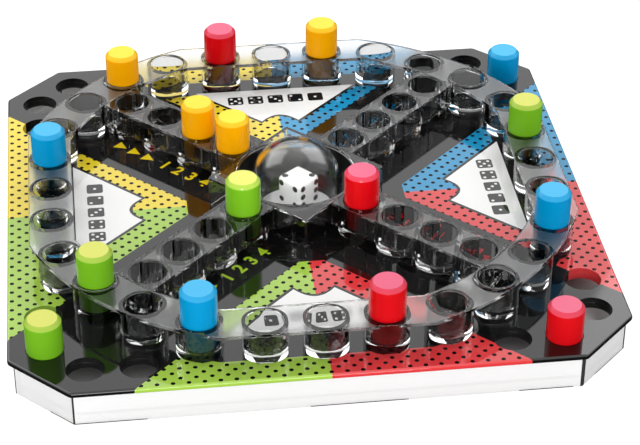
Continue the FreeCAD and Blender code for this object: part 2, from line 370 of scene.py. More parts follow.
INK = {
    "black": (0.004, 0.004, 0.004),
    "white": (0.93, 0.93, 0.92),
    "yellow": (0.88, 0.68, 0.03),
    "blue": (0.010, 0.29, 0.56),
    "red": (0.75, 0.045, 0.05),
    "green": (0.38, 0.61, 0.07),
}
LETTER_INK = {
    "yellow": (0.90, 0.66, 0.01),
    "blue": (0.010, 0.33, 0.66),
    "red": (0.76, 0.012, 0.018),
    "green": (0.40, 0.62, 0.03),
}

# The print is laid out in one quarter of the deck: u runs along the near edge, d is the
# distance of a point from the middle towards that edge, left is u + d and right is d - u.
CHEVRON_LEFT, CHEVRON_RIGHT, CHEVRON_TIP, CHEVRON_END = 45.0, 43.0, 49.5, 98.0
PANEL_LEFT, PANEL_RIGHT, PANEL_END = 60.5, 61.5, 100.0
PANEL_NOTCH, PANEL_NOTCH_DEEP, PANEL_NOTCH_HALF = 75.5, 6.0, 9.0
PANEL_OUTLINE = 1.5
# The strips outside the ring end further from the corners at the front and the back, and
# start under the ring's outer edge, further in at the back.
STRIP_LEFT, STRIP_RIGHT = (50.5, 40.5), (48.0, 38.5)
STRIP_UNDER, STRIP_UNDER_BACK = 3.0, 9.0
DOT_PITCH, DOT_R = 3.2, 0.95
GLOSS_SPECULAR, DOT_SPECULAR = 0.5, 0.08


def paint(tree, under, over, mask):
    """The colour under, or over where the mask is 1."""
    node = tree.nodes.new("ShaderNodeMix")
    node.data_type = "RGBA"
    for socket, value in ((node.inputs[6], under), (node.inputs[7], over)):
        if isinstance(value, tuple):
            socket.default_value = (*value, 1)
        else:
            tree.links.new(value, socket)
    tree.links.new(mask.socket, node.inputs[0])
    return node.outputs[2]


def deck_print():
    """Black gloss with dotted colour fields, one colour to each corner, and white panels."""
    mat, tree, shader = new_material("deck_print")
    x, y, z = object_field(tree)
    front_or_back = y.abs() > x.abs()
    d = x.abs().max(y.abs())
    u = (y * x.sign()).mix(x * y.sign() * -1.0, front_or_back)
    left = u + d
    right = d - u

    chevron = ((left > CHEVRON_LEFT) * (right > CHEVRON_RIGHT)
               * (d > CHEVRON_TIP) * (d < CHEVRON_END))
    notch = (u * u) * (-PANEL_NOTCH_DEEP / PANEL_NOTCH_HALF ** 2) + PANEL_NOTCH

    def panel(grow):
        slant = grow * math.sqrt(2)
        sides = (left > PANEL_LEFT - slant) * (right > PANEL_RIGHT - slant)
        return sides * (d > notch - grow) * (d < PANEL_END + grow)

    outside_ring = (d - RING_OUT).max((x * x + y * y).sqrt() - RING_OUT_R)
    strip_left = front_or_back * (STRIP_LEFT[0] - STRIP_LEFT[1]) + STRIP_LEFT[1]
    strip_right = front_or_back * (STRIP_RIGHT[0] - STRIP_RIGHT[1]) + STRIP_RIGHT[1]
    under = front_or_back * (y > 0.0) * (STRIP_UNDER_BACK - STRIP_UNDER) + STRIP_UNDER
    strip = (outside_ring + under > 0.0) * (left > strip_left) * (right > strip_right)
    field = chevron.max(strip)

    across = (x + y) * (0.5 / DOT_PITCH)
    along = (x - y) * (0.5 / DOT_PITCH)
    off_a = across - across.round()
    off_b = along - along.round()
    dot = (off_a * off_a + off_b * off_b).sqrt() < DOT_R / (DOT_PITCH * math.sqrt(2))
    dotted = field * dot

    right_side, back_side = x > 0.0, y > 0.0
    front = paint(tree, INK["green"], INK["red"], right_side)
    back = paint(tree, INK["yellow"], INK["blue"], right_side)
    colour = paint(tree, front, back, back_side)
    colour = paint(tree, INK["black"], colour, field - dotted)
    colour = paint(tree, colour, INK["black"], panel(PANEL_OUTLINE))
    colour = paint(tree, colour, INK["white"], panel(0.0))
    colour = paint(tree, INK["black"], colour, z > PAD_UNDER + 0.05)
    tree.links.new(colour, shader.inputs["Base Color"])
    matt_dot = dotted * panel(PANEL_OUTLINE).flip()
    specular = matt_dot * (DOT_SPECULAR - GLOSS_SPECULAR) + GLOSS_SPECULAR
    tree.links.new(specular.socket, shader.inputs["Specular IOR Level"])
    shader.inputs["Roughness"].default_value = 0.06
    shader.inputs["IOR"].default_value = 1.5
    return mat


def flat_ink(name, colour):
    mat, tree, shader = new_material(name)
    noise = noise_bump(tree, shader, scale=300.0, strength=0.02, distance=0.0002)
    varied_colour(tree, shader, noise, colour, 0.03)
    shader.inputs["Roughness"].default_value = 0.03
    shader.inputs["IOR"].default_value = 1.5
    return mat


PEG_INK = {
    "yellow": (0.99, 0.42, 0.0005),
    "red": (0.67, 0.003, 0.007),
    "green": (0.17, 0.455, 0.014),
    "blue": (0.0001, 0.30, 0.62),
}
# Painted sheen: lighter colours for the peg tops stand for the bright sky reflected in them, and
# the bevels take a share of that sheen.
PEG_TOP_SHEEN_INK = {
    "yellow": (0.94, 0.76, 0.05),
    "red": (0.82, 0.14, 0.24),
    "green": (0.70, 0.73, 0.15),
    "blue": (0.07, 0.50, 0.85),
}
BEVEL_SHEEN_SHARE = 0.4

MATERIALS = {
    "clear": track_plastic("clear_plastic"),
    "frosted": track_plastic("clear_frosted", roughness=0.3),
    # Painted shade: the bores, the lanes' upright walls and the hole rims are darkened, the rims
    # nearly to black, to stand for the dark the clear plastic shows there.
    "bore": track_plastic("clear_bore_painted_shade", shade=(0.6, 0.6, 0.6)),
    "wall": track_plastic("clear_wall_painted_shade", shade=(0.5, 0.5, 0.5)),
    "rim": track_plastic("clear_rim_painted_shade", shade=(0.02, 0.02, 0.02)),
    "dome": clear_plastic("clear_dome", roughness=0.06),
    "tray": tray_plastic(),
    # Painted shade: the tray's floor is grey and stands for the deck's shadow on the table, seen
    # through the home holes.
    "tray_floor_painted_shade": gloss_plastic("tray_floor_painted_shade", (0.38, 0.38, 0.38), roughness=0.2),
    "print": deck_print(),
    "black": gloss_plastic("black_plastic", (0.006, 0.006, 0.006), roughness=0.12, coat=0.6),
    "plate": gloss_plastic("popper_plate", (0.8, 0.8, 0.8), roughness=0.45),
    "steel": gloss_plastic("spring_steel", (0.55, 0.55, 0.56), roughness=0.3),
    "die": gloss_plastic("die_white", (0.96, 0.96, 0.94), roughness=0.45, spread=0.01),
    "pip": gloss_plastic("die_pips", (0.01, 0.01, 0.01), roughness=0.6),
    "ink_black": flat_ink("ink_black", (0.006, 0.006, 0.006)),
}
# Steel is metallic. The hole rims get a low specular level, which is part of their painted shade.
for key, socket_name, value in (("steel", "Metallic", 1.0), ("rim", "Specular IOR Level", 0.1)):
    principled = MATERIALS[key].node_tree.nodes["Principled BSDF"]
    principled.inputs[socket_name].default_value = value
for colour_name in PEG_COLOURS:
    side_ink, top_sheen_ink = PEG_INK[colour_name], PEG_TOP_SHEEN_INK[colour_name]
    bevel_sheen_ink = [a + (b - a) * BEVEL_SHEEN_SHARE for a, b in zip(side_ink, top_sheen_ink)]
    for key, ink in (("peg_", side_ink), ("peg_top_", top_sheen_ink), ("peg_bevel_", bevel_sheen_ink)):
        MATERIALS[key + colour_name] = peg_plastic(key + colour_name, ink)
    letter_name = "letter_" + colour_name
    MATERIALS[letter_name] = flat_ink(letter_name, LETTER_INK[colour_name])


# ---- mesh helpers ------------------------------------------------------------------
def add_object(name, mesh, *materials):
    obj = bpy.data.objects.new(name, mesh)
    bpy.context.scene.collection.objects.link(obj)
    mesh.materials.clear()
    for key in materials:
        mesh.materials.append(MATERIALS[key])
    return obj


def to_mesh(bm, name):
    mesh = bpy.data.meshes.new(name)
    bm.to_mesh(mesh)
    bm.free()
    return mesh


def turned_out(bm, name):
    """The mesh of a closed form, with its normals outwards."""
    bmesh.ops.recalc_face_normals(bm, faces=bm.faces)
    return to_mesh(bm, name)


def final_mesh(obj):
    """The mesh of an object with its modifiers, or of a curve. The object is removed."""
    bpy.context.view_layer.update()
    seen = obj.evaluated_get(bpy.context.evaluated_depsgraph_get())
    mesh = bpy.data.meshes.new_from_object(seen)
    bpy.data.objects.remove(obj)
    return mesh


def smooth(mesh, degrees):
    for face in mesh.polygons:
        face.use_smooth = True
    mesh.set_sharp_from_angle(angle=math.radians(degrees))


def even_normals(obj):
    """Flat faces stay flat where they run into a small bevel."""
    modifier = obj.modifiers.new("normals", "WEIGHTED_NORMAL")
    modifier.keep_sharp = True
    modifier.weight = 100
    modifier.thresh = 0.01


def lathe(name, points, segments):
    """A solid turned about the Z axis from (radius, height) points, in millimetres."""
    bm = bmesh.new()
    rings = []
    for r, z in points:
        ring = []
        for i in range(segments if r > 1e-6 else 1):
            a = 2 * math.pi * i / segments
            ring.append(bm.verts.new((r * MM * math.cos(a), r * MM * math.sin(a), z * MM)))
        rings.append(ring)
    pairs = list(zip(rings, rings[1:]))
    if len(rings[0]) > 1:
        pairs.append((rings[-1], rings[0]))
    for low, high in pairs:
        for i in range(segments):
            j = (i + 1) % segments
            corners = (low[i % len(low)], low[j % len(low)],
                       high[j % len(high)], high[i % len(high)])
            unique = list(dict.fromkeys(corners))
            if len(unique) > 2:
                bm.faces.new(unique)
    return turned_out(bm, name)


def prism(name, outline, z0, z1):
    """An upright solid over a closed outline of (x, y) points, in millimetres."""
    bm = bmesh.new()
    low = [bm.verts.new((x * MM, y * MM, z0 * MM)) for x, y in outline]
    high = [bm.verts.new((x * MM, y * MM, z1 * MM)) for x, y in outline]
    bm.faces.new(low[::-1])
    bm.faces.new(high)
    for i in range(len(outline)):
        j = (i + 1) % len(outline)
        bm.faces.new((low[i], low[j], high[j], high[i]))
    return turned_out(bm, name)


def arc(cx, cy, r, start, end, count):
    """Points of an arc about (cx, cy), from start to end in degrees."""
    points = []
    for i in range(count + 1):
        a = math.radians(start + (end - start) * i / count)
        points.append((cx + r * math.cos(a), cy + r * math.sin(a)))
    return points


def circle(x, y, r, count=64):
    return arc(x, y, r, 0, 360 * (count - 1) / count, count - 1)


def rectangle(half_x, half_y):
    return [(-half_x, -half_y), (half_x, -half_y), (half_x, half_y), (-half_x, half_y)]


def diamond(half):
    return [(half, 0), (0, half), (-half, 0), (0, -half)]


def octagon(half, cut):
    k = half - cut
    return [(half, -k), (half, k), (k, half), (-k, half),
            (-half, k), (-half, -k), (-k, -half), (k, -half)]


def rounded(points, radius, count=4):
    """A closed outline with each corner replaced by an arc."""
    out = []
    n = len(points)
    for i in range(n):
        p, a, b = Vector(points[i]), Vector(points[i - 1]), Vector(points[(i + 1) % n])
        to_a, to_b = (a - p).normalized(), (b - p).normalized()
        half = to_a.angle(to_b) / 2
        centre = p + (to_a + to_b).normalized() * (radius / math.sin(half))
        start = p + to_a * (radius / math.tan(half))
        end = p + to_b * (radius / math.tan(half))
        first = math.atan2(*(start - centre).yx)
        sweep = math.atan2(*(end - centre).yx) - first
        sweep = (sweep + math.pi) % (2 * math.pi) - math.pi
        for k in range(count + 1):
            angle = first + sweep * k / count
            x, y = centre.x + radius * math.cos(angle), centre.y + radius * math.sin(angle)
            out.append((x, y))
    return out


def placed(points, x, y, degrees=0.0):
    a = math.radians(degrees)
    c, s = math.cos(a), math.sin(a)
    return [(x + c * px - s * py, y + s * px + c * py) for px, py in points]


def filled_curve(name, loops):
    """A flat filled curve through closed loops of (x, y) points, as an object."""
    curve = bpy.data.curves.new(name, "CURVE")
    curve.dimensions = "2D"
    curve.fill_mode = "BOTH"
    for loop in loops:
        spline = curve.splines.new("POLY")
        spline.points.add(len(loop) - 1)
        for point, (x, y) in zip(spline.points, loop):
            point.co = (x * MM, y * MM, 0, 1)
        spline.use_cyclic_u = True
    obj = bpy.data.objects.new(name, curve)
    bpy.context.scene.collection.objects.link(obj)
    return obj


def plate(name, outline, holes, z0, z1, bevel):
    """A flat plate with holes and rounded rims."""
    obj = filled_curve(name, [outline] + holes)
    obj.data.extrude = ((z1 - z0) / 2 - bevel) * MM
    obj.data.bevel_depth = bevel * MM
    obj.data.bevel_resolution = 2
    obj.data.offset = -bevel * MM
    mesh = final_mesh(obj)
    mesh.transform(Matrix.Translation((0, 0, (z0 + z1) / 2 * MM)))
    bm = bmesh.new()
    bm.from_mesh(mesh)
    bpy.data.meshes.remove(mesh)
    bmesh.ops.remove_doubles(bm, verts=bm.verts, dist=1e-6)
    return turned_out(bm, name)


def boolean(base, others, operation):
    """base joined with, or cut by, all the meshes of others."""
    tools = bpy.data.collections.new("tools")
    bpy.context.scene.collection.children.link(tools)
    target = bpy.data.objects.new("target", base)
    bpy.context.scene.collection.objects.link(target)
    for mesh in others:
        tools.objects.link(bpy.data.objects.new("tool", mesh))
    modifier = target.modifiers.new("join", "BOOLEAN")
    modifier.operation = operation
    modifier.operand_type = "COLLECTION"
    modifier.collection = tools
    modifier.solver = "EXACT"
    modifier.use_self = operation == "UNION"
    result = final_mesh(target)
    for obj in list(tools.objects):
        bpy.data.objects.remove(obj)
    bpy.data.collections.remove(tools)
    return result


def moved(mesh, x, y, degrees=0.0):
    copy = mesh.copy()
    turn_by = Matrix.Rotation(math.radians(degrees), 4, "Z")
    copy.transform(Matrix.Translation(Vector((x, y, 0)) * MM) @ turn_by)
    return copy


# ---- deck --------------------------------------------------------------------------
def make_deck():
    outline = rounded(octagon(BOARD / 2, CORNER_CUT), CORNER_ROUND, 6)
    holes = [(x, y, HOLE_R) for x, y in home_holes()] + [(0, 0, DOME_R + DOME_HOLE_CLEAR)]
    cuts = [prism("hole", circle(x, y, r, 72), DECK_TOP - BEYOND, DECK_TOP + BEYOND)
            for x, y, r in holes]
    top = plate("deck_top", outline, [], DECK_UNDER, DECK_TOP, RIM)
    top = boolean(top, cuts, "DIFFERENCE")
    smooth(top, 40)
    deck = add_object("deck_plate", top, "print")
    even_normals(deck)
    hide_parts("deck")
    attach(deck, "board")


def make_home_pads():
    """The thick corners of the deck, with the home holes through them."""
    edge = BOARD / 2 - PAD_INSET
    cut = CORNER_CUT - PAD_INSET * CUT_PER_INSET
    inner = BOARD / 2 - HOME_EDGE - HOLE_R - PAD_WALL
    end = BOARD / 2 - HOME_REACH[0] - HOLE_R - PAD_WALL
    bend = inner - (HOME_REACH[0] - HOME_REACH[1]) / PAD_BEND
    half = [(edge, -end), (inner, -end), (inner, -bend)]
    outline = half + [(-y, -x) for x, y in reversed(half)]
    outline += [(edge - cut, -edge), (edge, cut - edge)]
    for corner in range(4):
        points = [turn(x, y, corner) for x, y in outline]
        holes = [circle(*turn(x, y, corner), HOLE_R) for x, y in home_holes()[:4]]
        pad = plate(f"home_pad_{corner + 1}", points, holes, PAD_UNDER, DECK_UNDER - HAIR, 0.1)
        smooth(pad, 40)
        piece = add_object(f"home_pad_{corner + 1}", pad, "print")
        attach(piece, "board")


# ---- clear track -------------------------------------------------------------------
BORE = [
    (0, CUP_FLOOR), (HOLE_R - 1.3, CUP_FLOOR), (HOLE_R - 0.45, CUP_FLOOR + 0.3),
    (HOLE_R, CUP_FLOOR + 1.2), (HOLE_R, TRACK_TOP - 0.35), (HOLE_R + 0.12, TRACK_TOP - 0.1),
    (HOLE_R + 0.4, TRACK_TOP + 0.02), (HOLE_R + 0.4, TRACK_TOP + BEYOND),
    (0, TRACK_TOP + BEYOND),
]


def bore(top):
    """The outline of a cup's hollow, with its rim at the height top."""
    rise = top - TRACK_TOP
    return [(r, z + rise if z > CUP_FLOOR + 3 else z) for r, z in BORE]


def ring_outline(half, radius, count=24):
    """A square whose corners are cut by a circle about the middle."""
    reach = math.degrees(math.acos(half / radius))
    points = []
    for quarter in range(4):
        points += arc(0, 0, radius, 90 * quarter + reach, 90 * quarter + 90 - reach, count)
    return points


def make_track():
    """The ring: one plate over 28 cups, four of them with a raised rim."""
    outer, inner = ring_outline(RING_OUT, RING_OUT_R), ring_outline(RING_IN, RING_IN_R)
    band = plate("band", outer, [inner], PLATE_UNDER, TRACK_TOP, PLATE_BEVEL)
    cup = rounded(rectangle(CELL_WIDTH / 2, CELL_DEEP / 2), CUP_ROUND, 10)
    plain = lathe("bore", bore(TRACK_TOP), 64)
    start = lathe("start_bore", bore(START_RIM_TOP), 64)
    rim = lathe("rim", [
        (0, TRACK_TOP - OVERLAP), (START_RIM_R, TRACK_TOP - OVERLAP),
        (START_RIM_R, START_RIM_TOP - START_RIM_BEVEL),
        (START_RIM_R - START_RIM_BEVEL, START_RIM_TOP), (0, START_RIM_TOP),
    ], 64)
    solids, cuts = [], []
    for k, x, y, degrees in ring_cells():
        outline = placed(cup, x, y, degrees)
        solids.append(prism("cup", outline, CUP_FOOT, PLATE_UNDER + OVERLAP))
        if k == 3:
            solids.append(moved(rim, x, y))
        cuts.append(moved(start if k == 3 else plain, x, y))
    return boolean(boolean(band, solids, "UNION"), cuts, "DIFFERENCE")


def lane_cup(x, start, end):
    """The outline of a lane's cup, kept inside the lane's sides and ends."""
    side = LANE_HALF - 2 * HAIR
    outline = []
    for px, py in circle(x, 0, LANE_CUP_R):
        shrink = min(1, end / math.hypot(px, py))
        outline.append((max(px * shrink, start), max(-side, min(side, py * shrink))))
    return outline


def make_lane():
    """One lane, along +X: a top plate with side walls, over four cups."""
    wall_foot = DECK_TOP + LANE_WALL_GAP
    start, end = FRAME_SIDE + LANE_END_GAP, RING_IN_R - LANE_END_GAP
    spread = math.degrees(math.asin(LANE_HALF / end))
    bar = [(start, LANE_HALF), (start, -LANE_HALF)] + arc(0, 0, end, -spread, spread, 6)
    inside = LANE_HALF - LANE_WALL
    before, after = start - BEYOND, end + BEYOND
    channel = [(before, -inside), (after, -inside), (after, inside), (before, inside)]
    hollow = prism("hollow", channel, wall_foot - BEYOND, PLATE_UNDER)
    shell = plate("bar", bar, [], wall_foot, TRACK_TOP, PLATE_BEVEL)
    shell = boolean(shell, [hollow], "DIFFERENCE")
    cups, cuts = [], []
    one = lathe("lane_bore", bore(TRACK_TOP), 64)
    for i in range(4):
        x = LANE_FIRST + i * LANE_PITCH
        cups.append(prism("cup", lane_cup(x, start, end), CUP_FOOT, PLATE_UNDER + OVERLAP))
        cuts.append(moved(one, x, 0))
        if i < 3:
            seam = x + LANE_PITCH / 2
            for side in (1, -1):
                edge, deep = side * (LANE_HALF + 1), side * (LANE_HALF - SEAM_DEEP)
                notch = [(seam - SEAM_OUT, edge), (seam - SEAM_IN, deep),
                         (seam + SEAM_IN, deep), (seam + SEAM_OUT, edge)]
                cuts.append(prism("notch", notch, wall_foot - BEYOND, TRACK_TOP + BEYOND))
    return boolean(boolean(shell, cups, "UNION"), cuts, "DIFFERENCE")


def make_centre_frame():
    """A square shell, set on its corner, with a round opening for the dome."""
    inner = FRAME_HALF - FRAME_WALL * math.sqrt(2)
    outline = rounded(diamond(FRAME_HALF), FRAME_ROUND)
    shell = plate("frame", outline, [], CUP_FOOT, TRACK_TOP, PLATE_BEVEL)
    below, deep, above = DECK_TOP - 1, TRACK_TOP - 6, TRACK_TOP + 4    # ends of the cuts
    hollow = prism("hollow", diamond(inner), below, PLATE_UNDER)
    opening = lathe("opening", [
        (0, deep), (FRAME_OPEN_R, deep), (FRAME_OPEN_R, TRACK_TOP - 0.4),
        (FRAME_RIM_R, TRACK_TOP + HAIR), (FRAME_RIM_R, above), (0, above),
    ], 96)
    return boolean(shell, [hollow, opening], "DIFFERENCE")


# The places of three materials in the list that each clear piece of the track has: frosted, and the
# walls and rims darkened with painted shade.
FROSTED, PAINTED_SHADE_WALL, PAINTED_SHADE_RIM = 1, 2, 3
# The height of the normal of faces that look down or up, or stand upright.
LOOKS_DOWN, LOOKS_UP, UPRIGHT = -0.9, 0.95, 0.2


def mark_faces(mesh, all_walls):
    """Frosted undersides of the plates, and painted shade on the walls and rims of the holes, and
    on every upright wall where all_walls is set.
    """
    places = [(x, y) for _, x, y, _ in ring_cells()] + lane_holes()
    for face in mesh.polygons:
        x, y, z = face.center / MM
        up = face.normal.z
        to_hole = min(math.hypot(x - a, y - b) for a, b in places)
        if up < LOOKS_DOWN and abs(z - PLATE_UNDER) < 0.1:
            face.material_index = FROSTED
        elif up < LOOKS_UP and z > CUP_FLOOR + 1 and to_hole < HOLE_R + 0.5:
            face.material_index = PAINTED_SHADE_WALL if abs(up) < UPRIGHT else PAINTED_SHADE_RIM
        elif all_walls and abs(up) < UPRIGHT:
            face.material_index = PAINTED_SHADE_WALL


def make_clear_parts():
    keys = ("clear", "frosted", "bore", "rim")
    lane_keys = ("clear", "frosted", "wall", "rim")
    ring = add_object("clear_ring", make_track(), *keys)
    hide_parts("track_ring")
    mark_faces(ring.data, False)
    lane = make_lane()
    lanes = []
    for corner in range(4):
        mesh = moved(lane, 0, 0, 45 + 90 * corner)
        lanes.append(add_object(f"clear_lane_{corner + 1}", mesh, *lane_keys))
        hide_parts("finish_lanes")
        mark_faces(mesh, True)
    frame_piece = add_object("clear_frame", make_centre_frame(), *keys)
    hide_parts("centre_frame")
    for piece in [ring, frame_piece] + lanes:
        smooth(piece.data, 30)
        even_normals(piece)
        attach(piece, "board")


# ---- tray --------------------------------------------------------------------------
def tray_outline(inset):
    cut = CORNER_CUT - inset * CUT_PER_INSET
    return rounded(octagon(BOARD / 2 - inset, cut), max(CORNER_ROUND - inset, 0.8), 4)


def make_tray():
    top = DECK_UNDER - HAIR
    inside = tray_outline(TRAY_INSET + TRAY_WALL)
    outer = prism("tray", tray_outline(TRAY_INSET), 0.0, top)
    below, above = -2.0, top + 2    # ends of the cuts
    inner = prism("inner", inside, TRAY_FLOOR_TOP, above)
    under = prism("under", inside, below, TRAY_FLOOR_TOP - TRAY_FLOOR_THICK)
    mesh = boolean(outer, [inner, under], "DIFFERENCE")
    tray = add_object("clear_skirt", mesh, "tray", "tray_floor_painted_shade")
    # Painted shade: the large low faces of the tray's floor take the grey floor material.
    for face in tray.data.polygons:
        low = face.center.z < (TRAY_FLOOR_TOP + 1) * MM
        large = face.area > 0.01
        face.material_index = 1 if abs(face.normal.z) > 0.9 and low and large else 0
    smooth(tray.data, 30)
    even_normals(tray)
    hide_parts("base_tray")
    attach(tray, "board")


# ---- dome, plate and die -----------------------------------------------------------
def make_dome():
    inner = DOME_R - DOME_WALL
    skirt = dome_low.z / MM + 2 * HAIR
    flange_top, flange_r = DECK_UNDER - 2 * HAIR, dome_high.x / MM
    flange_foot = flange_top - FLANGE_THICK
    outside = [(inner, skirt), (DOME_R, skirt), (DOME_R, flange_foot), (flange_r, flange_foot),
               (flange_r, flange_top), (DOME_R, flange_top)]
    outside += arc(0, DOME_CENTRE, DOME_R, 0, 88, 24) + [(0, DOME_CENTRE + DOME_R)]
    inside = [(0, DOME_CENTRE + inner)] + arc(0, DOME_CENTRE, inner, 88, 0, 24)
    mesh = lathe("dome", outside + inside, 96)
    smooth(mesh, 30)
    dome = add_object("clear_dome", mesh, "dome")
    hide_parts("popper_dome")
    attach(dome, "popper")
    spare(front_lamp, dome)


PIPS = {
    1: [(0, 0)],
    2: [(-1, 1), (1, -1)],
    3: [(-1, 1), (0, 0), (1, -1)],
    4: [(-1, -1), (-1, 1), (1, -1), (1, 1)],
    5: [(-1, -1), (-1, 1), (1, -1), (1, 1), (0, 0)],
    6: [(-1, -1), (-1, 0), (-1, 1), (1, -1), (1, 0), (1, 1)],
}
# The axis and the degrees that turn the top of the die onto each face, and its pips.
DIE_FACES = (("X", 0, 2), ("X", 180, 5), ("X", 90, 6), ("X", -90, 1), ("Y", 90, 3), ("Y", -90, 4))


def make_die():
    half = DIE_EDGE / 2
    bm = bmesh.new()
    bmesh.ops.create_cube(bm, size=DIE_EDGE * MM)
    bmesh.ops.bevel(bm, geom=bm.edges[:] + bm.verts[:], offset=DIE_ROUND * MM, segments=5,
                    profile=0.5, affect="EDGES")
    pip = lathe("pip", [(0, -0.5), (PIP_R, -0.5), (PIP_R, 0.0), (PIP_R - 0.1, 0.04), (0, 0.05)], 32)
    for face in pip.polygons:
        face.material_index = 1
    for axis, degrees, number in DIE_FACES:
        aim = Matrix.Rotation(math.radians(degrees), 4, axis)
        for px, py in PIPS[number]:
            at = Matrix.Translation(Vector((px * PIP_AT, py * PIP_AT, half)) * MM)
            copy = pip.copy()
            copy.transform(aim @ at)
            bm.from_mesh(copy)
    mesh = bpy.data.meshes.new("die")
    body = add_object("die_body", mesh, "die", "pip")
    bm.to_mesh(mesh)
    bm.free()
    die_low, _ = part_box("die")
    place = Matrix.Translation(Vector((DIE_X, DIE_Y, die_low.z / MM + half)) * MM)
    mesh.transform(place @ Matrix.Rotation(math.radians(DIE_TURN), 4, "Z"))
    smooth(mesh, 40)
    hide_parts("die")
    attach(body, "die")


def dress_cad():
    """CAD nodes whose shape is right keep it and get their material."""
    for node, key in (("popper_floor", "plate"), ("popper_housing", "black"),
                      ("popper_collar", "black")):
        obj = frame["nodes"][node]
        for slot in obj.material_slots:
            slot.link = "OBJECT"
            slot.material = MATERIALS[key]


def make_bow_spring():
    """A bowed strip of steel under the dome."""
    low, high = (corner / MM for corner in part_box("bow_spring"))

    def bow(half, top):
        rise = top - low.z
        radius = (half * half + rise * rise) / (2 * rise)
        reach = math.degrees(math.asin(half / radius))
        return arc(0, top - radius, radius, 90 - reach, 90 + reach, 24)

    under = bow(high.x - SPRING_THICK, high.z - SPRING_THICK)
    mesh = prism("bow_spring", bow(high.x, high.z) + under[::-1], low.y, high.y)
    mesh.transform(Matrix.Rotation(math.radians(90), 4, "X"))
    smooth(mesh, 30)
    spring = add_object("pressed_spring", mesh, "steel")
    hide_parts("bow_spring")
    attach(spring, "board")
    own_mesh(spring)


# ---- pegs --------------------------------------------------------------------------
PEG_BEVEL_DEEP = 1.7
PEG_SHAPE = [
    (0, 0), (5.6, 0), (6.6, 0.5), (6.95, 1.4), (7.6, PEG_STEP - 0.3), (7.62, PEG_STEP),
    (7.8, PEG_STEP + 0.15), (7.8, PEG_STEP + 0.5), (7.72, PEG_LENGTH - 1.85),
    (7.62, PEG_LENGTH - 1.65), (6.35, PEG_LENGTH - 0.15), (6.15, PEG_LENGTH), (0, PEG_LENGTH),
]


def make_pegs():
    mesh = lathe("peg", PEG_SHAPE, 64)
    smooth(mesh, 24)
    for colour in PEG_COLOURS:
        keys = ("peg_" + colour, "peg_top_" + colour, "peg_bevel_" + colour)
        for number in range(1, 5):
            node = f"peg_{colour}_{number}"
            low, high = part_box(node)
            middle = (low + high) / 2
            copy = mesh.copy()
            copy.transform(Matrix.Translation((middle.x, middle.y, low.z)))
            peg = add_object("dressed_" + node, copy, *keys)
            bevel = low.z + (PEG_LENGTH - PEG_BEVEL_DEEP) * MM
            # Painted sheen: the top faces and the bevels get the lighter sheen colours.
            for face in peg.data.polygons:
                if face.center.z > bevel:
                    face.material_index = 1 if face.normal.z > 0.9 else 2
            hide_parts(node)
            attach(peg, node)


# ---- print on the deck -------------------------------------------------------------
PRINT_Z = DECK_TOP + 2 * HAIR
LANE_PRINT_OFF, ARROW_LONG, ARROW_HALF = 15.2, 6.0, 3.0
ARROWS_AT, DIGITS_AT = (93.0, 84.5, 76.0), (66.0, 58.0, 50.0, 42.0)
DIGIT_SIZE, DIGIT_BOLD = 9.0, 0.25
ICON_HALF, ICON_ROUND, ICON_PITCH, ICON_AT = 3.7, 1.1, 9.8, 90.5
ICON_PIP, ICON_PIP_AT = 0.75, 1.95


def flat_shape(name, outline, holes=()):
    """A printed patch a hair above the deck."""
    mesh = final_mesh(filled_curve(name, [outline] + list(holes)))
    mesh.transform(Matrix.Translation((0, 0, PRINT_Z * MM)))
    return mesh


def digit_mesh(text):
    curve = bpy.data.curves.new("digit", "FONT")
    curve.body = text
    curve.size = DIGIT_SIZE * MM
    curve.align_x = "CENTER"
    curve.align_y = "CENTER"
    curve.offset = DIGIT_BOLD * MM
    obj = bpy.data.objects.new("digit", curve)
    bpy.context.scene.collection.objects.link(obj)
    return final_mesh(obj)


def make_lane_print():
    """Arrows and numbers beside each lane, in the colour of its corner."""
    face_out = Matrix.Rotation(math.radians(180), 4, "Z")
    for corner, colour in enumerate(CORNER_COLOURS):
        bm = bmesh.new()
        for at in ARROWS_AT:
            base, tip = at + ARROW_LONG / 2, at - ARROW_LONG / 2
            shape = [(base, -ARROW_HALF), (base, ARROW_HALF), (tip, 0)]
            bm.from_mesh(flat_shape("arrow", placed(shape, 0, LANE_PRINT_OFF)))
        for number, at in enumerate(DIGITS_AT):
            mesh = digit_mesh(str(number + 1))
            place = Matrix.Translation(Vector((at, LANE_PRINT_OFF, PRINT_Z)) * MM)
            mesh.transform(place @ face_out)
            bm.from_mesh(mesh)
        along_lane = Matrix.Rotation(math.radians(-45 + 90 * corner), 4, "Z")
        bmesh.ops.transform(bm, verts=bm.verts, matrix=along_lane)
        mesh = to_mesh(bm, "lane_print")
        piece = add_object(f"lane_print_{colour}", mesh, "letter_" + colour)
        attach(piece, "board")


def make_panel_print():
    """A row of five die faces, black with white pips, on each white panel."""
    square = rounded(rectangle(ICON_HALF, ICON_HALF), ICON_ROUND)
    bm = bmesh.new()
    for quarter in range(4):
        for number in range(1, 6):
            x, y = (number - 3) * ICON_PITCH, -ICON_AT
            pips = [circle(x + px * ICON_PIP_AT, y + py * ICON_PIP_AT, ICON_PIP, 20)
                    for px, py in PIPS[number]]
            icon = flat_shape("icon", placed(square, x, y), pips)
            bm.from_mesh(moved(icon, 0, 0, 90 * quarter))
    piece = add_object("panel_print", to_mesh(bm, "panel_print"), "ink_black")
    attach(piece, "board")


# ---- stage, light and camera -------------------------------------------------------
TABLE_WHITE, TABLE_MIRRORED, TABLE_SEEN = 0.8, 0.05, 0.9
TABLE_GLOW, GLOW_SHARE = 1.2, 0.82
SKY_LIT, SKY_THROUGH, SKY_SEEN = 0.6, 0.02, 1.0
SKY_TOP, SKY_DARK, SKY_FROM, SKY_TO = 1.75, 0.04, 0.15, 0.45


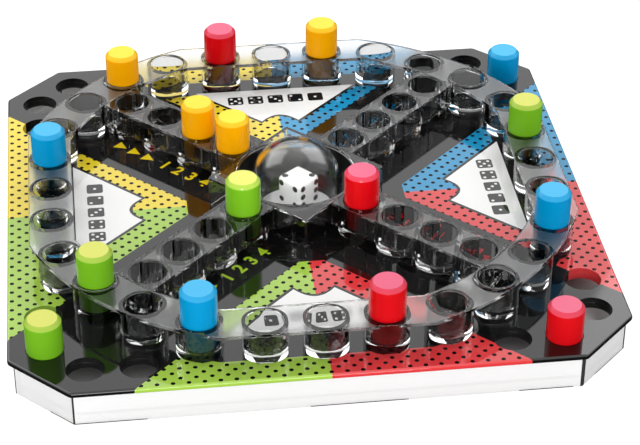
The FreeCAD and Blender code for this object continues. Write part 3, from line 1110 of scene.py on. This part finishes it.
def straight_through(tree):
    """1 for rays that pass the clear plastic without a reflection on the way."""
    straight = light_path(tree, "Glossy Depth") < 0.5
    return light_path(tree, "Is Transmission Ray") * straight


def make_stage():
    """A table that is white to the camera and to the light, and dark in the gloss."""
    bpy.ops.mesh.primitive_plane_add(size=8.0, location=(0, 0, -0.0002))
    floor = bpy.context.object
    floor.name = "stage_floor"
    mat, tree, shader = new_material("stage_floor")
    seen = light_path(tree, "Is Camera Ray").max(straight_through(tree))
    mirrored = light_path(tree, "Is Glossy Ray")
    shade = mirrored * (TABLE_MIRRORED - TABLE_WHITE) + TABLE_WHITE
    shade = shade.max(seen * TABLE_SEEN)
    tree.links.new(shade.grey(), shader.inputs["Base Color"])
    shader.inputs["Roughness"].default_value = 0.9
    shader.inputs["Specular IOR Level"].default_value = 0.0
    glow = tree.nodes.new("ShaderNodeEmission")
    glow.inputs["Color"].default_value = (1, 1, 1, 1)
    glow.inputs["Strength"].default_value = TABLE_GLOW
    mix = tree.nodes.new("ShaderNodeMixShader")
    tree.links.new((seen * GLOW_SHARE).socket, mix.inputs["Fac"])
    tree.links.new(shader.outputs[0], mix.inputs[1])
    tree.links.new(glow.outputs[0], mix.inputs[2])
    tree.links.new(mix.outputs[0], tree.nodes["Material Output"].inputs["Surface"])
    floor.data.materials.append(mat)


def smooth_step(value, low, high, from_value, to_value):
    node = value.tree.nodes.new("ShaderNodeMapRange")
    node.interpolation_type = "SMOOTHSTEP"
    node.inputs["From Min"].default_value = low
    node.inputs["From Max"].default_value = high
    node.inputs["To Min"].default_value = from_value
    node.inputs["To Max"].default_value = to_value
    value.tree.links.new(value.socket, node.inputs["Value"])
    return Field(value.tree, node.outputs["Result"])


def make_world():
    """White to the camera, even light on matt surfaces, and in the gloss a bright sky over a
    dark horizon."""
    world = bpy.data.worlds.new("studio")
    bpy.context.scene.world = world
    world.use_nodes = True
    tree = world.node_tree
    coords = tree.nodes.new("ShaderNodeTexCoord")
    split = tree.nodes.new("ShaderNodeSeparateXYZ")
    tree.links.new(coords.outputs["Generated"], split.inputs[0])
    level = smooth_step(Field(tree, split.outputs[2]), SKY_FROM, SKY_TO, SKY_DARK, SKY_TOP)
    level = level.mix(SKY_LIT, light_path(tree, "Is Glossy Ray").flip())
    level = level.mix(SKY_THROUGH, light_path(tree, "Is Transmission Ray"))
    level = level.mix(SKY_SEEN, straight_through(tree))
    level = level.mix(SKY_SEEN, light_path(tree, "Is Camera Ray"))
    background = tree.nodes["Background"]
    background.inputs["Color"].default_value = (1, 1, 1, 1)
    tree.links.new(level.socket, background.inputs["Strength"])


def add_lamp(name, kind, place, target, power):
    data = bpy.data.lights.new(name, kind)
    data.energy = power
    lamp = bpy.data.objects.new(name, data)
    lamp.location = place
    aim = Vector(target) - Vector(place)
    lamp.rotation_euler = aim.to_track_quat("-Z", "Y").to_euler()
    bpy.context.scene.collection.objects.link(lamp)
    return lamp


def add_light(name, place, size, power):
    lamp = add_lamp(name, "AREA", place, (0, 0, 0.02), power)
    lamp.data.shape = "RECTANGLE"
    lamp.data.size, lamp.data.size_y = size
    return lamp


def add_spot(name, place, target, degrees, power):
    lamp = add_lamp(name, "SPOT", place, target, power)
    lamp.data.spot_size = math.radians(degrees)
    lamp.data.spot_blend = 0.4
    lamp.data.shadow_soft_size = 0.03


def spare(lamp, obj):
    """The lamp lights everything but obj, so it makes no highlight on it."""
    spared = bpy.data.collections.new("spared_" + obj.name)
    spared.objects.link(obj)
    spared.collection_objects[0].light_linking.link_state = "EXCLUDE"
    lamp.light_linking.receiver_collection = spared


# The camera's place is measured from the middle of the deck's top face.
CAMERA_FROM_DECK = (-85.72, -781.82, 513.97)
CAMERA_TURN, CAMERA_TILT, CAMERA_ROLL = -0.1230, 0.9807, 0.0016
CAMERA_LENS = 116.40


def make_camera():
    data = bpy.data.cameras.new("camera")
    data.lens = CAMERA_LENS
    data.sensor_width = 36.0
    data.clip_end = 20.0
    camera = bpy.data.objects.new("camera", data)
    place = (Vector(CAMERA_FROM_DECK) + Vector((0, 0, DECK_TOP))) * MM
    aim = Matrix.Rotation(CAMERA_TURN, 4, "Z") @ Matrix.Rotation(CAMERA_TILT, 4, "X")
    roll = Matrix.Rotation(CAMERA_ROLL, 4, "Z")
    camera.matrix_world = Matrix.Translation(place) @ aim @ roll
    bpy.context.scene.collection.objects.link(camera)
    bpy.context.scene.camera = camera


make_camera()
make_stage()
make_world()
add_light("back_left", (-0.42, 0.34, 0.5), size=(0.5, 0.5), power=2.0)
add_light("back_right", (0.42, 0.30, 0.5), size=(0.5, 0.5), power=1.7)
front_lamp = add_light("front", (-0.2, -1.4, 0.4), size=(0.9, 0.5), power=11.0)
die_middle = Vector((DIE_X, DIE_Y, DECK_TOP + 2)) * MM
add_spot("die", (-0.15, -0.8, 0.62), die_middle, degrees=3.6, power=32.0)
bpy.context.scene.view_settings.view_transform = "Standard"

make_deck()
make_home_pads()
make_clear_parts()
make_tray()
make_dome()
make_die()
dress_cad()
make_bow_spring()
make_pegs()
make_lane_print()
make_panel_print()
